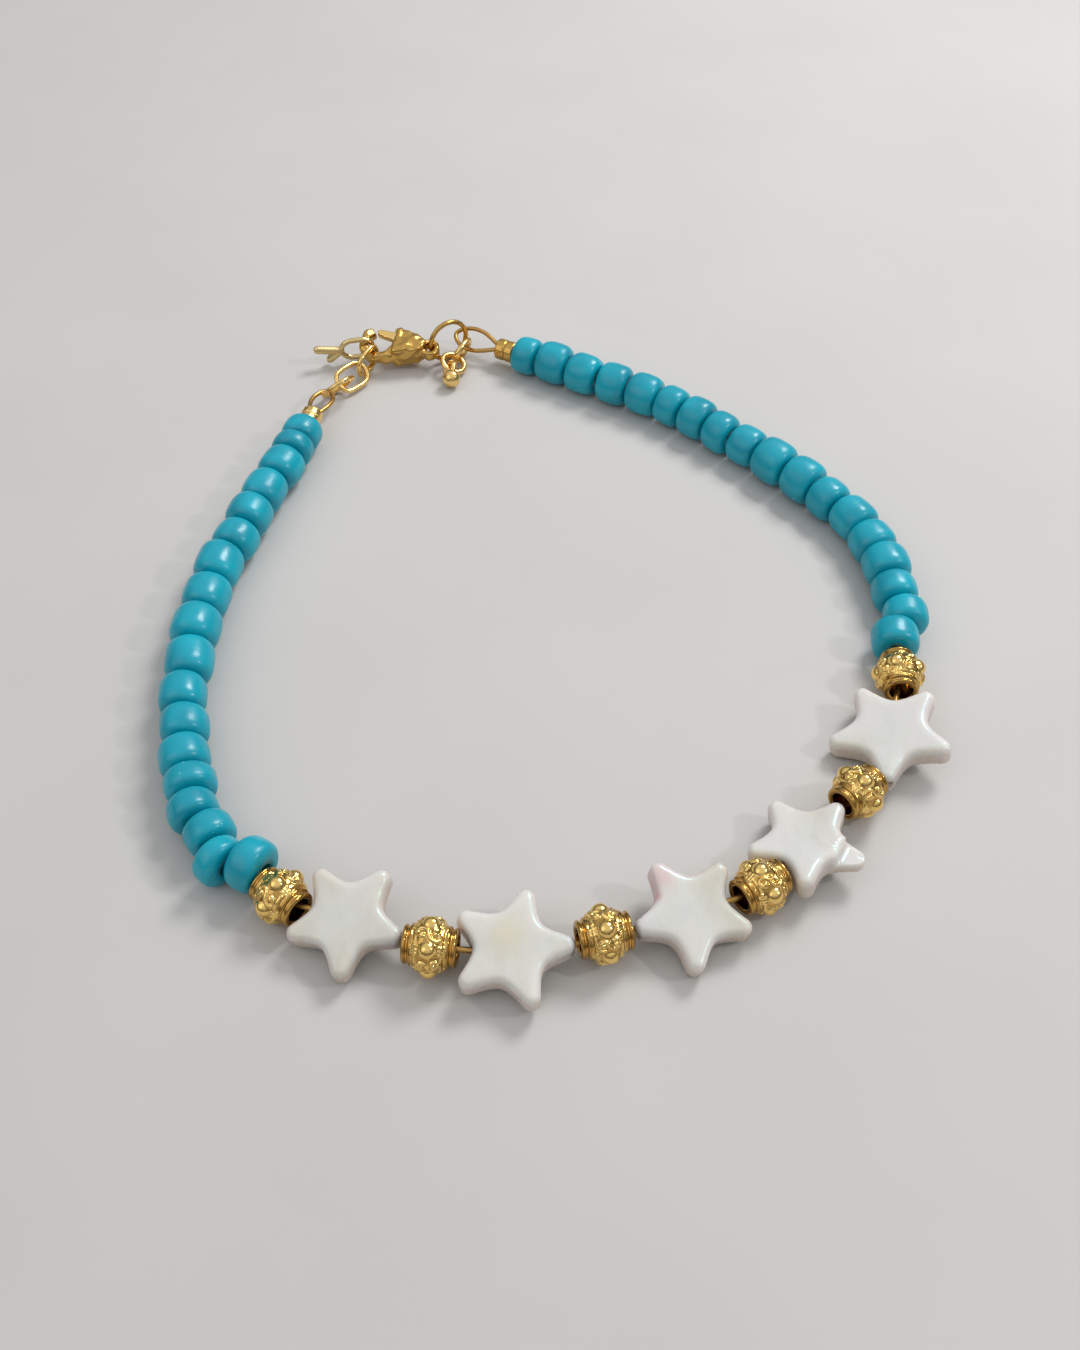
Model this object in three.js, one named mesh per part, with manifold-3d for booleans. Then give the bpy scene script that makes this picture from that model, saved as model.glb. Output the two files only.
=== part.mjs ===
// Beaded anklet lying on a table: turquoise glass beads, granulated gold beads and shell stars
// on one gold beading wire, closed at the back by a lobster clasp and a few extender links.
// Millimetres, +Z up. X runs left to right, Y from the stars towards the clasp, and the
// origin is the middle of the anklet's footprint, on the surface it lies on.
import * as THREE from "three";
import { mergeVertices } from "three/addons/utils/BufferGeometryUtils.js";
import Module from "manifold-3d";

const wasm = await Module();
wasm.setup();

// Wire and links
const stringWidth = 0.46;
const linkWidth = 0.54;
const wireSides = 6;
const linkSteps = 14;
const linkRadius = 1.3;

// Turquoise beads
const beadSides = 12;
const beadBore = 1.7;
const beadGap = 0.15;

// Gold beads
const goldLength = 4.2;
const goldSides = 14;
const goldBore = 2.1;
const goldBelly = 2.2;
const knobRadius = 0.8;
const knobStandsOut = 0.3;
const knobCount = 5;

// Shell stars
const starThickness = 2.3;
const starTip = 4.9;
const starNotch = 2.85;
const starTipRound = 0.75;
const starBevel = 0.3;
const starBore = 1.25;

// Crimp tubes
const crimpLength = 2.1;
const crimpWidth = 2.3;
const crimpBore = 1.62;
const strandsApart = 0.64;

// Lobster clasp
const clawOuter = 2.25;
const clawInner = 1.5;
const clawThickness = 1.1;
const baseThickness = 2.2;
const leverThickness = 0.7;
const slotThickness = 1.3;
const pivotPinRadius = 0.3;
const pivotHoleRadius = 0.6;

const degrees = THREE.MathUtils.degToRad;

// Finishes, as seen in the photograph
const turquoiseGlass = new THREE.MeshStandardMaterial({ color: 0x2196af, roughness: 0.25, metalness: 0 });
const yellowGold = new THREE.MeshStandardMaterial({ color: 0xd4a445, roughness: 0.25, metalness: 1 });
const claspGold = new THREE.MeshStandardMaterial({ color: 0xb98a3c, roughness: 0.35, metalness: 1 });
const motherOfPearl = new THREE.MeshStandardMaterial({ color: 0xe6e0d8, roughness: 0.3, metalness: 0 });

const anklet = new THREE.Group();

function named(name, geometry, material) {
  const mesh = new THREE.Mesh(geometry, material);
  mesh.name = name;
  return mesh;
}

// Solid and geometry, there and back

function toSolid(geometry) {
  const bare = geometry.clone();
  bare.deleteAttribute("normal");
  bare.deleteAttribute("uv");
  const merged = mergeVertices(bare, 1e-4);
  return new wasm.Manifold(
    new wasm.Mesh({
      numProp: 3,
      vertProperties: new Float32Array(merged.attributes.position.array),
      triVerts: new Uint32Array(merged.index.array),
    }),
  );
}

function toGeometry(solid) {
  const mesh = solid.getMesh();
  const geometry = new THREE.BufferGeometry();
  geometry.setAttribute("position", new THREE.BufferAttribute(mesh.vertProperties, 3));
  geometry.setIndex(new THREE.BufferAttribute(mesh.triVerts, 1));
  geometry.computeVertexNormals();
  return geometry;
}

function join(geometries) {
  return toGeometry(geometries.map(toSolid).reduce((whole, next) => whole.add(next)));
}

function cut(geometry, ...tools) {
  return toGeometry(tools.map(toSolid).reduce((left, tool) => left.subtract(tool), toSolid(geometry)));
}

// A ring-shaped turning about the X axis. The profile is [radius, place along X] and closes on itself.
// A flat side faces straight down.
function turnedAboutX(profile, sides) {
  const closed = [...profile, profile[0]].map(([radius, along]) => new THREE.Vector2(radius, along));
  return new THREE.LatheGeometry(closed, sides, Math.PI / sides).rotateZ(-Math.PI / 2);
}

function rod(radius, length, sides) {
  return new THREE.CylinderGeometry(radius, radius, length, sides);
}

// An upright slab of an outline, centred on its own middle plane
function slab(shape, thickness, curveSegments = 4) {
  const geometry = new THREE.ExtrudeGeometry(shape, {
    depth: thickness,
    bevelEnabled: false,
    curveSegments,
  });
  return geometry.translate(0, 0, -thickness / 2);
}

// Beads

function turquoiseBead(length, width) {
  const half = length / 2;
  const radius = width / 2;
  const shoulder = 0.86 * radius;
  return turnedAboutX(
    [
      [beadBore / 2, -half],
      [shoulder, -0.4 * length],
      [radius, -0.17 * length],
      [radius, 0.17 * length],
      [shoulder, 0.4 * length],
      [beadBore / 2, half],
    ],
    beadSides,
  );
}

// A barrel with two raised rings at each end and a row of big knobs round its belly
function goldBead() {
  const half = goldLength / 2;
  const end = [
    [goldBore / 2, 0],
    [1.42, 0],
    [1.58, 0.24],
    [1.46, 0.46],
    [1.85, 0.8],
    [goldBelly, 1.4],
  ];
  const barrel = turnedAboutX(
    [
      ...end.map(([radius, inset]) => [radius, inset - half]),
      ...end.map(([radius, inset]) => [radius, half - inset]).reverse(),
    ],
    goldSides,
  );
  const knobs = Array.from({ length: knobCount }, (_, i) => {
    const angle = (i / knobCount) * 2 * Math.PI;
    const out = goldBelly + knobStandsOut - knobRadius;
    return new THREE.SphereGeometry(knobRadius, 8, 6)
      .rotateX(angle + Math.PI / 2)
      .translate(0, Math.cos(angle) * out, Math.sin(angle) * out);
  });
  return join([barrel, ...knobs]);
}

// A five-armed outline, first arm along +X, with round tips and slightly hollow sides
function starOutline(size) {
  const shape = new THREE.Shape();
  const tipSweep = degrees(66);
  const tipReach = size * starTip - starTipRound;
  const hollow = (size * starNotch - 0.25 * tipReach * Math.cos(degrees(36))) / 0.75;
  const tipCentre = (arm) => new THREE.Vector2(tipReach, 0).rotateAround(new THREE.Vector2(), arm);
  for (let i = 0; i < 5; i++) {
    const arm = degrees(72 * i);
    const nextArm = degrees(72 * (i + 1));
    const tip = tipCentre(arm);
    const nextTip = tipCentre(nextArm);
    const notch = new THREE.Vector2(hollow, 0).rotateAround(new THREE.Vector2(), (arm + nextArm) / 2);
    shape.absarc(tip.x, tip.y, starTipRound, arm - tipSweep, arm + tipSweep, false);
    shape.bezierCurveTo(
      notch.x,
      notch.y,
      notch.x,
      notch.y,
      nextTip.x + starTipRound * Math.cos(nextArm - tipSweep),
      nextTip.y + starTipRound * Math.sin(nextArm - tipSweep),
    );
  }
  return shape;
}

// Drilled from the tip of its first arm to the notch opposite. A chipped star has lost the
// upper layer of one arm.
function starBead(size, chippedArm) {
  const blank = new THREE.ExtrudeGeometry(starOutline(size), {
    depth: starThickness - 2 * starBevel,
    bevelThickness: starBevel,
    bevelSize: starBevel,
    bevelOffset: -starBevel,
    bevelSegments: 1,
    curveSegments: 3,
  }).translate(0, 0, starBevel - starThickness / 2);
  const drill = rod(starBore / 2, 4 * starTip, 8).rotateZ(Math.PI / 2);
  if (chippedArm === undefined) return cut(blank, drill);
  const chipDepth = 0.95;
  const chip = new THREE.BoxGeometry(starTip, 2 * starTip, chipDepth * 2)
    .translate(starTip / 2 + size * starNotch, 0, starThickness / 2)
    .rotateZ(degrees(72 * chippedArm));
  return cut(blank, drill, chip);
}

// The string: pieces in order from the left crimp to the right crimp.
// length is the room a piece takes on the string; aside moves it off the line, outwards;
// turn swings it on the string, both as the photograph shows them.
const leftBeads = [
  { length: 3.0, width: 4.2, aside: 0, turn: 0 },
  { length: 2.4, width: 4.4, aside: 0, turn: 2 },
  { length: 3.7, width: 4.5, aside: 0, turn: -2 },
  { length: 4.0, width: 4.4, aside: 0.1, turn: 3 },
  { length: 3.6, width: 4.6, aside: 0, turn: 0 },
  { length: 3.4, width: 4.4, aside: -0.1, turn: -3 },
  { length: 4.2, width: 4.6, aside: 0.1, turn: 2 },
  { length: 4.0, width: 4.5, aside: 0, turn: 0 },
  { length: 4.0, width: 4.7, aside: 0, turn: -2 },
  { length: 4.2, width: 4.5, aside: -0.1, turn: 2 },
  { length: 3.7, width: 4.4, aside: 0.1, turn: 0 },
  { length: 3.4, width: 4.4, aside: -0.1, turn: -3 },
  { length: 3.4, width: 4.5, aside: 0.1, turn: 2 },
  { length: 2.6, width: 4.6, aside: -0.1, turn: 0 },
  { length: 2.7, width: 4.4, aside: 0.2, turn: 4 },
  { length: 2.8, width: 4.3, aside: -0.1, turn: 2, at: { x: -27.75, y: -27.9, heading: -57 } },
  { length: 2.2, width: 4.5, aside: 0.1, turn: -2, at: { x: -26.6, y: -30.6, heading: -41 } },
  { length: 2.9, width: 4.7, aside: 0, turn: 0, at: { x: -23.9, y: -31.25, heading: -31, lift: 0.3 } },
];
const rightBeads = [
  { length: 3.2, width: 4.5, aside: -0.15, turn: 3 },
  { length: 3.0, width: 4.3, aside: 0.85, turn: 0 },
  { length: 3.1, width: 4.4, aside: 0, turn: 3 },
  { length: 3.6, width: 4.6, aside: 0, turn: -2 },
  { length: 3.4, width: 4.5, aside: 0, turn: 2 },
  { length: 3.8, width: 4.4, aside: 0.1, turn: 0 },
  { length: 3.3, width: 4.4, aside: 0, turn: -3 },
  { length: 3.7, width: 4.7, aside: 0, turn: 2 },
  { length: 3.9, width: 4.7, aside: 0, turn: 0 },
  { length: 3.4, width: 4.3, aside: 0.1, turn: 2 },
  { length: 3.2, width: 4.4, aside: -0.1, turn: -2 },
  { length: 3.3, width: 4.5, aside: 0.1, turn: 3 },
  { length: 3.1, width: 4.4, aside: 0, turn: -2 },
  { length: 3.7, width: 4.5, aside: 0, turn: 0 },
  { length: 3.6, width: 4.6, aside: 0, turn: 2 },
  { length: 3.7, width: 4.5, aside: 0, turn: -2 },
  { length: 3.8, width: 4.6, aside: 0, turn: 0 },
  { length: 2.9, width: 4.2, aside: 0, turn: 0 },
];
// The front beads lie off the string's line, so each has a place and a heading of its own, as the
// photograph shows them. spin turns a gold bead about the string. A star leans about its bore by
// roll and along it by pitch, both seen with its drilled tip ahead; tipFirst says that this tip
// points back along the string.
const frontBeads = [
  { kind: "gold", at: { x: -21.3, y: -33.95, heading: -39 }, spin: 20 },
  { kind: "star", at: { x: -15.95, y: -36.1, heading: -22 }, size: 0.95, roll: 15, pitch: 0, tipFirst: false },
  { kind: "gold", at: { x: -9.45, y: -38.5, heading: -6 }, spin: -12 },
  { kind: "star", at: { x: -3.4, y: -38.65, heading: 3 }, size: 0.98, roll: 8, pitch: 0, tipFirst: false },
  { kind: "gold", at: { x: 3.6, y: -37.5, heading: 13 }, spin: 36 },
  { kind: "star", at: { x: 10.35, y: -35.45, heading: 20 }, size: 0.96, roll: -13, pitch: 0, tipFirst: true },
  { kind: "gold", at: { x: 15.9, y: -33.1, heading: 32 }, spin: 8 },
  {
    kind: "star",
    at: { x: 19.95, y: -29.0, heading: 46 },
    size: 0.96,
    roll: -8,
    pitch: 1,
    tipFirst: false,
    chippedArm: 4,
  },
  { kind: "gold", at: { x: 24.85, y: -23.9, heading: 40 }, spin: 30 },
  { kind: "star", at: { x: 28.6, y: -17.7, heading: 77 }, size: 1.06, roll: 11, pitch: -5, tipFirst: true },
  { kind: "gold", at: { x: 30.4, y: -11.0, heading: 86 }, spin: 0 },
];

// The line of the string on the table, from the left crimp to the right one
const stringLine = new THREE.CatmullRomCurve3(
  [
    [-25.4, 27.0],
    [-27.2, 19.0],
    [-29.3, 12.0],
    [-31.8, 2.0],
    [-32.6, -6.5],
    [-32.2, -14.0],
    [-30.9, -20.5],
    [-28.9, -26.5],
    [-26.3, -30.6],
    [-21.3, -34.6],
    [-15.6, -36.8],
    [-9.7, -38.7],
    [-3.2, -39.0],
    [3.5, -37.9],
    [9.6, -35.9],
    [15.5, -33.4],
    [19.9, -29.0],
    [24.0, -23.8],
    [27.9, -18.0],
    [30.2, -11.4],
    [31.0, -6.6],
    [31.8, 1.3],
    [29.9, 8.9],
    [26.1, 14.5],
    [21.0, 20.2],
    [16.2, 24.8],
    [11.4, 28.9],
    [4.6, 32.9],
    [-0.5, 35.9],
    [-6.0, 38.8],
  ].map(([x, y]) => new THREE.Vector3(x, y, 0)),
);

const starLength = starTip + starNotch;
const strung = [
  ...leftBeads.map((bead, i) => ({ ...bead, kind: "turquoise", name: `turquoise_left_${twoDigits(i + 1)}` })),
  ...numbered(frontBeads),
  ...rightBeads.map((bead, i) => ({ ...bead, kind: "turquoise", name: `turquoise_right_${twoDigits(i + 1)}` })),
];

function twoDigits(number) {
  return String(number).padStart(2, "0");
}

function numbered(beads) {
  const count = { gold: 0, star: 0 };
  return beads.map((bead) => ({ ...bead, name: `${bead.kind}_bead_${++count[bead.kind]}` }));
}

const roomOf = { gold: goldLength + 0.65, star: starLength + 0.56 };
for (const bead of strung) bead.room = bead.kind === "turquoise" ? bead.length : roomOf[bead.kind];
const crimpRoom = crimpLength + 0.2;
const strungRoom = strung.reduce((sum, bead) => sum + bead.room, 2 * crimpRoom);

// A place on the string's line: where it is and which way it heads
function placeOnLine(room) {
  const share = room / strungRoom;
  const tangent = stringLine.getTangentAt(share);
  return { point: stringLine.getPointAt(share), heading: Math.atan2(tangent.y, tangent.x) };
}

function restOnTable(mesh) {
  mesh.position.z -= new THREE.Box3().setFromObject(mesh, true).min.z;
}

// Where a bead lies: its own place, or the one that its room on the line gives it
function placeOf(bead, reached) {
  if (bead.at) return { ...bead.at, heading: degrees(bead.at.heading) };
  const { point } = placeOnLine(reached + bead.room / 2);
  const before = placeOnLine(reached - bead.room / 2).point;
  const after = placeOnLine(reached + 1.5 * bead.room).point;
  const heading = Math.atan2(after.y - before.y, after.x - before.x);
  const outwards = heading - Math.PI / 2;
  return {
    x: point.x + Math.cos(outwards) * bead.aside,
    y: point.y + Math.sin(outwards) * bead.aside,
    heading: heading + degrees(bead.turn),
  };
}

function beadGeometry(bead) {
  if (bead.kind === "gold") return goldGeometry;
  if (bead.kind === "star") return starBead(bead.size, bead.chippedArm);
  return turquoiseBead(bead.length - beadGap, bead.width);
}

const goldGeometry = goldBead();
const finishOf = { turquoise: turquoiseGlass, gold: yellowGold, star: motherOfPearl };
let reached = crimpRoom;
for (const bead of strung) {
  const { x, y, heading, lift = 0 } = placeOf(bead, reached);
  reached += bead.room;
  const mesh = named(bead.name, beadGeometry(bead), finishOf[bead.kind]);
  mesh.position.set(x, y, 0);
  mesh.rotation.set(
    degrees(bead.spin ?? bead.roll ?? 0),
    -degrees(bead.pitch ?? 0),
    heading + (bead.tipFirst ? Math.PI : 0),
    "ZYX",
  );
  restOnTable(mesh);
  mesh.position.z += lift;
  bead.mesh = mesh;
}

// A star hangs a little below the string that the gold beads on both sides hold up, or lies on the
// table where it would reach lower
const hangsBelow = 0.3;
strung.forEach((bead, i) => {
  if (bead.kind !== "star") return;
  const held = (strung[i - 1].mesh.position.z + strung[i + 1].mesh.position.z) / 2;
  bead.mesh.position.z = Math.max(bead.mesh.position.z, held - hangsBelow);
});
anklet.add(...strung.map((bead) => bead.mesh));

// Crimps
function crimp() {
  const half = crimpLength / 2;
  const radius = crimpWidth / 2;
  const groove = 0.14;
  return turnedAboutX(
    [
      [crimpBore / 2, -half],
      [radius - 0.1, -half],
      [radius, -half + 0.12],
      [radius, -groove],
      [radius - groove, 0],
      [radius, groove],
      [radius, half - 0.12],
      [radius - 0.1, half],
      [crimpBore / 2, half],
    ],
    goldSides,
  );
}

const crimpHeight = 1.85;
const crimps = {
  left: { name: "crimp_left", ...placeOnLine(crimpRoom / 2) },
  right: { name: "crimp_right", ...placeOnLine(strungRoom - crimpRoom / 2) },
};
for (const { name, point, heading } of Object.values(crimps)) {
  const mesh = named(name, crimp(), yellowGold);
  mesh.position.set(point.x, point.y, crimpHeight);
  mesh.rotation.z = heading;
  anklet.add(mesh);
}

// The wire leaves a crimp, makes an eye and comes back into the crimp beside itself.
// Rows: distance from the crimp's middle, and half the eye's width there.
const eyeShape = [
  [0, strandsApart / 2],
  [1.2, strandsApart / 2 + 0.02],
  [2.1, 0.72],
  [3.2, 1.1],
  [4.3, 1.14],
  [5.2, 0.86],
  [5.75, 0.42],
];
const eyeEnd = 5.95;

// Points round a wire eye, from the cut end inside the crimp to the strand that goes on.
// away is the way the eye points, lean tips it on edge and drop lowers its far end.
function wireEye({ point, away, longer, wider, lean, drop }) {
  const forward = new THREE.Vector3(Math.cos(away), Math.sin(away), 0);
  const flat = new THREE.Vector3(-Math.sin(away), Math.cos(away), 0);
  const leaning = flat.clone().multiplyScalar(Math.cos(lean)).setZ(Math.sin(lean));
  const pointAt = (along, half) =>
    new THREE.Vector3(point.x, point.y, crimpHeight - (drop * along) / eyeEnd)
      .addScaledVector(forward, along + longer * THREE.MathUtils.smoothstep(along, 1.2, eyeEnd))
      .addScaledVector(flat.clone().lerp(leaning, THREE.MathUtils.smoothstep(along, 1.1, 2.6)), half);
  const widthAt = (half) => strandsApart / 2 + (half - strandsApart / 2) * wider;
  const out = eyeShape.map(([along, half]) => pointAt(along, widthAt(half)));
  const back = eyeShape.map(([along, half]) => pointAt(along, -widthAt(half))).reverse();
  return [...out, pointAt(eyeEnd, 0), ...back];
}

// A curve that spends its steps by point, so that the eyes get as many as the long run needs few
class ThroughPoints extends THREE.CatmullRomCurve3 {
  getPointAt(u, target) {
    return this.getPoint(u, target);
  }
  getTangentAt(u, target) {
    return this.getTangent(u, target);
  }
  getSpacedPoints(divisions) {
    return this.getPoints(divisions);
  }
}

// Where the string runs: through the middle of a turquoise bead, straight through the longer bores
function stringThrough({ kind, mesh, tipFirst, size }) {
  const ends = { turquoise: [0], gold: [-0.9, 0.9], star: [-size * starNotch - 0.12, size * starTip + 0.12] }[kind];
  mesh.updateMatrixWorld();
  const places = ends.map((x) => mesh.localToWorld(new THREE.Vector3(x, 0, 0)));
  return tipFirst ? places.reverse() : places;
}

const leftEye = wireEye({
  ...crimps.left,
  away: crimps.left.heading + Math.PI,
  longer: 0,
  wider: 1,
  lean: 0,
  drop: 0.6,
});
const rightEye = wireEye({
  ...crimps.right,
  away: crimps.right.heading,
  longer: 0.6,
  wider: 1.25,
  lean: degrees(-25),
  drop: -0.2,
});
const stringPoints = [...leftEye, ...strung.flatMap(stringThrough), ...rightEye.reverse()];
const section = new THREE.Shape(
  Array.from({ length: wireSides }, (_, i) =>
    new THREE.Vector2(stringWidth / 2, 0).rotateAround(new THREE.Vector2(), (i / wireSides) * 2 * Math.PI),
  ),
);
const string = new THREE.ExtrudeGeometry(section, {
  extrudePath: new ThroughPoints(stringPoints),
  steps: stringPoints.length - 1,
});
anklet.add(named("stringing_wire", string, claspGold));

// A wire link, round or drawn out along X
function link(meanRadius, drawnOut = 0) {
  const geometry = new THREE.TorusGeometry(meanRadius, linkWidth / 2, wireSides, linkSteps);
  const place = geometry.attributes.position;
  for (let i = 0; i < place.count; i++) place.setX(i, place.getX(i) + Math.sign(place.getX(i)) * drawnOut);
  return geometry;
}

// Puts a piece at its middle, headed along the table, pitched along itself and rolled about itself
function laid(mesh, { x, y, z, heading, pitch = 0, roll = 0 }) {
  mesh.position.set(x, y, z);
  mesh.rotation.set(degrees(roll), -degrees(pitch), degrees(heading), "ZYX");
  return mesh;
}

// Lobster clasp, drawn flat with its hook towards -X and its eye towards +X

const clawMiddle = new THREE.Vector2(-1.6, 0);
const endMiddle = new THREE.Vector2(2.2, 0);
const endRadius = 1.2;
const pivot = new THREE.Vector2(1.5, 0.8);
const claspEyeX = 4.0;

function clawOutline() {
  const shape = new THREE.Shape();
  const hookTip = degrees(125);
  const taper = Math.asin((clawOuter - endRadius) / (endMiddle.x - clawMiddle.x));
  const tangent = Math.PI / 2 - taper;
  shape.absarc(clawMiddle.x, clawMiddle.y, clawOuter, hookTip, 2 * Math.PI - tangent, false);
  shape.absarc(endMiddle.x, endMiddle.y, endRadius, -tangent, tangent, false);
  shape.lineTo(0.45, 1.79);
  shape.absarc(clawMiddle.x, clawMiddle.y, clawInner, degrees(20), hookTip - 2 * Math.PI, true);
  return shape;
}

function claspBody() {
  const claw = slab(clawOutline(), clawThickness, 6);
  const baseStart = 0.15;
  const cheeks = toGeometry(
    toSolid(slab(clawOutline(), baseThickness, 6)).intersect(
      toSolid(new THREE.BoxGeometry(6, 6, 3).translate(3 + baseStart, 0, 0)),
    ),
  );
  const eye = rod(1.12, 1, 12).rotateX(Math.PI / 2).translate(claspEyeX, 0, 0);
  const eyeHole = rod(0.62, 2, 12).rotateX(Math.PI / 2).translate(claspEyeX, 0, 0);
  const slotBox = { left: -0.6, right: 2.76, bottom: -0.46, top: 3 };
  const slot = new THREE.BoxGeometry(
    slotBox.right - slotBox.left,
    slotBox.top - slotBox.bottom,
    slotThickness,
  ).translate((slotBox.left + slotBox.right) / 2, (slotBox.bottom + slotBox.top) / 2, 0);
  const pin = rod(pivotPinRadius, baseThickness - 0.1, 10).rotateX(Math.PI / 2).translate(pivot.x, pivot.y, 0);
  return join([cut(join([claw, cheeks, eye]), slot, eyeHole), pin]);
}

function claspLever() {
  const tip = new THREE.Vector2(-1.95, 1.6);
  const tipRadius = 0.34;
  const bossRadius = 0.95;
  const arm = new THREE.Shape([
    new THREE.Vector2(tip.x - 0.08, tip.y - tipRadius),
    new THREE.Vector2(pivot.x, pivot.y - 0.6),
    new THREE.Vector2(pivot.x, pivot.y + 0.7),
    new THREE.Vector2(tip.x + 0.08, tip.y + tipRadius),
  ]);
  const flatRod = (radius, x, y) => rod(radius, leverThickness, 12).rotateX(Math.PI / 2).translate(x, y, 0);
  return cut(
    join([
      slab(arm, leverThickness),
      flatRod(tipRadius, tip.x, tip.y),
      flatRod(bossRadius, pivot.x, pivot.y),
      flatRod(0.5, 0.1, 2.0),
    ]),
    rod(pivotHoleRadius, 2, 12).rotateX(Math.PI / 2).translate(pivot.x, pivot.y, 0),
  );
}

// A small forked charm on an eye of its own
function forkedCharm() {
  const prong = (length, turn) =>
    new THREE.CapsuleGeometry(0.42, length, 2, 7)
      .rotateZ(Math.PI / 2)
      .translate(-length / 2, 0, 0)
      .rotateZ(degrees(turn));
  const eyeHalf = 1.8;
  const prongs = join([prong(2.6, -14), prong(1.7, 38)]).translate(-eyeHalf - 0.1, 0, 0);
  return join([link(linkRadius, 0.5), prongs]);
}

// The clasp lies with its far side up, on the links that its claw holds
const clasp = laid(new THREE.Group(), { x: -17.5, y: 38.6, z: 2.2, heading: -10, roll: 12 });
clasp.add(
  named("clasp_body", claspBody(), claspGold),
  named("clasp_lever", claspLever(), yellowGold),
  laid(named("extender_link_2", link(linkRadius, 0.5), yellowGold), {
    x: -2.51,
    y: -2.49,
    z: 0,
    heading: 70,
    roll: 90,
  }),
  laid(named("clasp_charm", forkedCharm(), yellowGold), { x: -4.1, y: -0.86, z: 0, heading: 19, roll: 90 }),
);

function endBall() {
  const ball = new THREE.SphereGeometry(0.9, 12, 8).translate(1.5, 0, 0);
  return join([ball, link(0.9)]);
}

anklet.add(
  clasp,
  laid(named("ring_left", link(1.85), yellowGold), { x: -23.25, y: 31.8, z: 1.7, heading: 45, roll: -50 }),
  laid(named("extender_link_1", link(linkRadius, 0.75), yellowGold), {
    x: -21.95,
    y: 34.15,
    z: 1.3,
    heading: 50,
    roll: 38,
  }),
  laid(named("jump_ring", link(2.32), yellowGold), { x: -11.5, y: 39.2, z: 2.6, heading: 32.8, roll: 90 }),
  laid(named("extender_link_3", link(linkRadius, 0.2), yellowGold), {
    x: -10.0,
    y: 38.65,
    z: 1.54,
    heading: -118,
    roll: 70,
  }),
  laid(named("extender_link_4", link(linkRadius), yellowGold), {
    x: -10.92,
    y: 36.94,
    z: 1.1,
    heading: -110,
    roll: -25,
  }),
  laid(named("end_ball", endBall(), yellowGold), { x: -11.28, y: 35.6, z: 1.1, heading: -80, roll: 60 }),
);

// The origin is the middle of the footprint
anklet.updateMatrixWorld(true);
const footprint = new THREE.Box3().setFromObject(anklet, true);
anklet.position.set(-(footprint.min.x + footprint.max.x) / 2, -(footprint.min.y + footprint.max.y) / 2, 0);

export default anklet;
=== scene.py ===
import math
import random

import bmesh
import bpy
import numpy as np
from mathutils import Matrix, Vector, noise


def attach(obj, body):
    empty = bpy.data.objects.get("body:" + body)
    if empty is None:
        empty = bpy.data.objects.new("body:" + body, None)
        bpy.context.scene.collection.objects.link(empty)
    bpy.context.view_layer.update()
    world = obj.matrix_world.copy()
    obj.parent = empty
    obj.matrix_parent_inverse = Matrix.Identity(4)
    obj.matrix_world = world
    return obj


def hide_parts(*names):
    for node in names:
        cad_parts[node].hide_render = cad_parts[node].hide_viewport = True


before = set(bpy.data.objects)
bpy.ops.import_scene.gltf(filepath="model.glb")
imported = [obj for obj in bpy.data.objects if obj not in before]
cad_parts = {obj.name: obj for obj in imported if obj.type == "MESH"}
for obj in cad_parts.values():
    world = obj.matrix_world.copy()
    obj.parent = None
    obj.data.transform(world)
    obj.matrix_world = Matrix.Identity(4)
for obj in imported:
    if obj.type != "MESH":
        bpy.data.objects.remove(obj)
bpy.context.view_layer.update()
mm = 0.001  # sizes below are in millimetres, finished meshes in metres
print("frame loaded,", len(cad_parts), "nodes")


# camera as in the photograph, looking 48 degrees down at the beads
cameraSetup = {
    "place": (-1.04, -93.33, 94.52),
    "downwards": 48.0,
    "lens": 37.505,
    "sensorWidth": 36.0,
    "clip": (0.002, 5.0),  # metres
}


def setUpCamera(setup):
    data = bpy.data.cameras.new("photoCamera")
    data.lens = setup["lens"]
    data.sensor_width = setup["sensorWidth"]
    data.clip_start, data.clip_end = setup["clip"]
    camera = bpy.data.objects.new("photoCamera", data)
    camera.location = Vector(setup["place"]) * mm
    camera.rotation_euler = (math.radians(90.0 - setup["downwards"]), 0.0, 0.0)
    bpy.context.collection.objects.link(camera)
    bpy.context.scene.camera = camera


setUpCamera(cameraSetup)
print("camera set")


# mesh helpers, all working in millimetres until finishPiece

def smoothstep(low, high, value):
    t = min(1.0, max(0.0, (value - low) / (high - low)))
    return t * t * (3.0 - 2.0 * t)


def finishPiece(bm, name, material, nodes, body="anklet"):
    bm.transform(Matrix.Scale(mm, 4))
    bmesh.ops.recalc_face_normals(bm, faces=bm.faces)
    if bm.calc_volume(signed=True) < 0.0:
        bmesh.ops.reverse_faces(bm, faces=bm.faces)
    mesh = bpy.data.meshes.new(name)
    bm.to_mesh(mesh)
    bm.free()
    mesh.polygons.foreach_set("use_smooth", [True] * len(mesh.polygons))
    mesh.materials.append(material)
    piece = bpy.data.objects.new(name, mesh)
    bpy.context.collection.objects.link(piece)
    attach(piece, body)
    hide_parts(*nodes)
    return piece


def runModifiers(bm, steps):
    mesh = bpy.data.meshes.new("working")
    bm.to_mesh(mesh)
    bm.free()
    helper = bpy.data.objects.new("working", mesh)
    bpy.context.collection.objects.link(helper)
    for kind, values in steps:
        modifier = helper.modifiers.new(kind, kind)
        for key, value in values.items():
            setattr(modifier, key, value)
    depsgraph = bpy.context.evaluated_depsgraph_get()
    worked = bpy.data.meshes.new_from_object(helper.evaluated_get(depsgraph))
    bpy.data.objects.remove(helper)
    result = bmesh.new()
    result.from_mesh(worked)
    bpy.data.meshes.remove(worked)
    return result


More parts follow.
